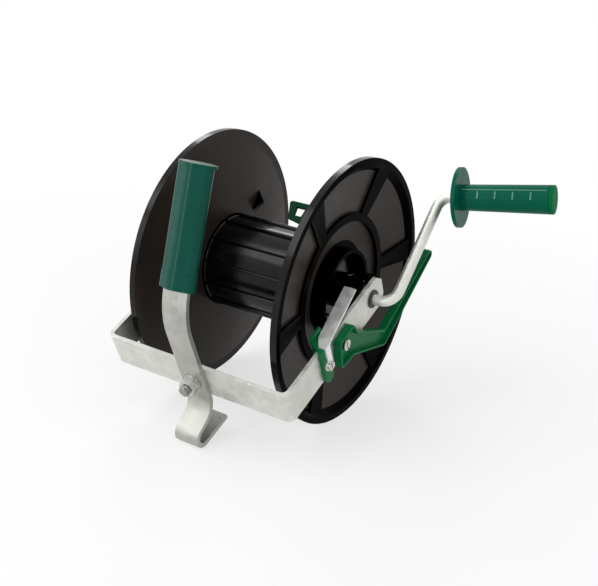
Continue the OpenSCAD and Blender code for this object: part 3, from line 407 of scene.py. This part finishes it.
def seamTree(tree, given):
    near = addNode(tree, "ShaderNodeCombineXYZ", X=given["nearRadius"])
    far = addNode(tree, "ShaderNodeCombineXYZ", X=given["farRadius"], Z=given["length"])
    path = addNode(tree, "GeometryNodeCurvePrimitiveLine", Start=near.outputs["Vector"],
                   End=far.outputs["Vector"])
    profile = addNode(tree, "GeometryNodeCurvePrimitiveCircle", Resolution=10, Radius=given["width"])
    ridge = addNode(tree, "GeometryNodeCurveToMesh", Curve=path.outputs["Curve"],
                    Profile_Curve=profile.outputs["Curve"], Fill_Caps=True)
    number = addNode(tree, "GeometryNodeInputIndex").outputs["Index"]
    step = addNode(tree, "ShaderNodeMath", {"operation": "DIVIDE"}, in0=math.tau, in1=given["seams"])
    angle = addNode(tree, "ShaderNodeMath", {"operation": "MULTIPLY"}, in0=number, in1=step.outputs["Value"])
    turn = addNode(tree, "ShaderNodeCombineXYZ", Z=angle.outputs["Value"])
    upright = addNode(tree, "FunctionNodeEulerToRotation", Euler=turn.outputs["Vector"])
    spots = addNode(tree, "GeometryNodePoints", Count=given["seams"])
    seams = addNode(tree, "GeometryNodeInstanceOnPoints", Points=spots.outputs[0],
                    Instance=ridge.outputs["Mesh"], Rotation=upright.outputs["Rotation"])
    return seams.outputs["Instances"]


gripPlace = (Matrix.Rotation(math.radians(gripLine["turn"] - 90), 4, "X")
             @ Matrix.Translation((gripLine["out"] * mm, 0, gripLine["corner"] * mm))
             @ Matrix.Rotation(math.radians(90 - gripLine["lean"]), 4, "Y")
             @ Matrix.Rotation(math.radians(gripLine["seamAt"]), 4, "Z")
             @ Matrix.Translation((0, 0, gripLine["start"] * mm)))
# the seams' pale green is a painted highlight along their ridges
seams = growPiece("gripSeams", seamTree, seamSizes, "highlightGreen")
seams.data.transform(gripPlace)
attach(seams, "grip")


# the raised ticks between the seams get the seams' pale green, a painted highlight

def paintTickHighlights(obj):
    obj.data.materials.append(finishes["highlightGreen"])
    toGrip = gripPlace.inverted()
    taper = (seamSizes["farRadius"] - seamSizes["nearRadius"]) / seamSizes["length"]
    for face in obj.data.polygons:
        spot = toGrip @ face.center
        body = seamSizes["nearRadius"] + taper * spot.z
        raised = math.hypot(spot.x, spot.y) > body + gripLine["tickRise"] * mm
        if raised and 0 < spot.z < seamSizes["length"]:
            face.material_index = 1


paintTickHighlights(pieces["crankGrip"])
print("grown pieces: barrel, bolt thread, grip seams")


# stage: pale floor, white surroundings, soft lamps

# the floor shows its shadow near the reel and turns to plain white farther out
stage = {"floorZ": -125 * mm, "floorDrop": 0.2 * mm, "floorSize": 40.0, "floorTone": "#f7f7f6",
         "shadowShare": 0.35, "fadeStart": 0.25, "fadeEnd": 0.8, "softLight": 0.45}


def seenDirectly(tree):
    path = addNode(tree, "ShaderNodeLightPath").outputs
    direct = addNode(tree, "ShaderNodeMath", {"operation": "MAXIMUM"}, in0=path["Is Camera Ray"],
                     in1=path["Is Glossy Ray"])
    seen = addNode(tree, "ShaderNodeMath", {"operation": "MAXIMUM"}, in0=direct.outputs["Value"],
                   in1=path["Is Transmission Ray"])
    return seen.outputs["Value"]


def stageFloor():
    floorHeight = stage["floorZ"] - stage["floorDrop"]
    bpy.ops.mesh.primitive_plane_add(size=stage["floorSize"], location=(0, 0, floorHeight))
    floor = bpy.context.object
    floor.name = "floor"
    mat = bpy.data.materials.new("studio floor, pale")
    mat.use_nodes = True
    tree = mat.node_tree
    tree.nodes.clear()
    seen = seenDirectly(tree)
    coords = addNode(tree, "ShaderNodeTexCoord").outputs["Object"]
    away = addNode(tree, "ShaderNodeVectorMath", {"operation": "LENGTH"}, in0=coords)
    whiter = addNode(tree, "ShaderNodeMapRange", Value=away.outputs["Value"], From_Min=stage["fadeStart"],
                     From_Max=stage["fadeEnd"], To_Min=1 - stage["shadowShare"], To_Max=1.0)
    share = addNode(tree, "ShaderNodeMath", {"operation": "MULTIPLY"}, in0=seen,
                    in1=whiter.outputs["Result"])
    plain = addNode(tree, "ShaderNodeBsdfDiffuse", Color=linearColour(stage["floorTone"]))
    white = addNode(tree, "ShaderNodeEmission", Color=(1, 1, 1, 1), Strength=1.0)
    mix = addNode(tree, "ShaderNodeMixShader", in0=share.outputs["Value"], in1=plain.outputs["BSDF"],
                  in2=white.outputs["Emission"])
    addNode(tree, "ShaderNodeOutputMaterial", Surface=mix.outputs["Shader"])
    floor.data.materials.append(mat)


def studioWorld():
    world = bpy.data.worlds.new("studio")
    scene.world = world
    world.use_nodes = True
    tree = world.node_tree
    tree.nodes.clear()
    seen = seenDirectly(tree)
    soft = addNode(tree, "ShaderNodeBackground", Color=(1, 1, 1, 1), Strength=stage["softLight"])
    white = addNode(tree, "ShaderNodeBackground", Color=(1, 1, 1, 1), Strength=1.0)
    mix = addNode(tree, "ShaderNodeMixShader", in0=seen, in1=soft.outputs["Background"],
                  in2=white.outputs["Background"])
    addNode(tree, "ShaderNodeOutputWorld", Surface=mix.outputs["Shader"])


lamps = [
    # name, place, watts, width, height, seen in reflections
    ("key softbox", (-0.6, -0.8, 1.2), 7, 0.9, 0.9, True),
    ("top softbox", (0.3, 0.4, 1.5), 4, 1.0, 1.0, True),
    ("back softbox", (-0.8, 0.9, 1.0), 4, 0.5, 0.5, True),
    ("grip strip", (-0.3, -1.45, 0.35), 5, 0.07, 0.9, True),
    ("left panel", (-1.3, -0.9, 0.4), 4, 1.0, 0.9, True),
    ("side fill", (1.4, -0.9, 0.7), 4, 0.9, 0.9, False),
]


def studioLamps():
    for name, place, watts, width, height, reflected in lamps:
        data = bpy.data.lights.new(name, "AREA")
        data.energy = watts
        data.shape = "RECTANGLE"
        data.size = width
        data.size_y = height
        lamp = bpy.data.objects.new(name, data)
        aim = Vector(place).to_track_quat("Z", "Y").to_matrix().to_4x4()
        lamp.matrix_world = Matrix.Translation(place) @ aim
        lamp.visible_glossy = reflected
        scene.collection.objects.link(lamp)


# camera, fitted to the two rims in the photograph: angles in the drum's frame, then the reel's own lean

view = {"azimuth": 32.8, "elevation": 26.89, "lean": 7.15, "place": (489.39, -726.66, 422.51), "lens": 61.4,
        "sensor": 36}


def photoCamera():
    azimuth = math.radians(view["azimuth"])
    elevation = math.radians(view["elevation"])
    right = Vector((math.cos(azimuth), math.sin(azimuth), 0))
    back = Vector((math.sin(azimuth) * math.cos(elevation), -math.cos(azimuth) * math.cos(elevation),
                   math.sin(elevation)))
    turn = Matrix((right, back.cross(right), back)).transposed().to_4x4()
    place = Matrix.Translation(Vector(view["place"]) * mm)
    data = bpy.data.cameras.new("camera")
    data.sensor_width = view["sensor"]
    data.lens = view["lens"]
    camera = bpy.data.objects.new("camera", data)
    camera.matrix_world = Matrix.Rotation(math.radians(view["lean"]), 4, "X") @ place @ turn
    scene.collection.objects.link(camera)
    scene.camera = camera


stageFloor()
studioWorld()
studioLamps()
photoCamera()
print("stage and camera")
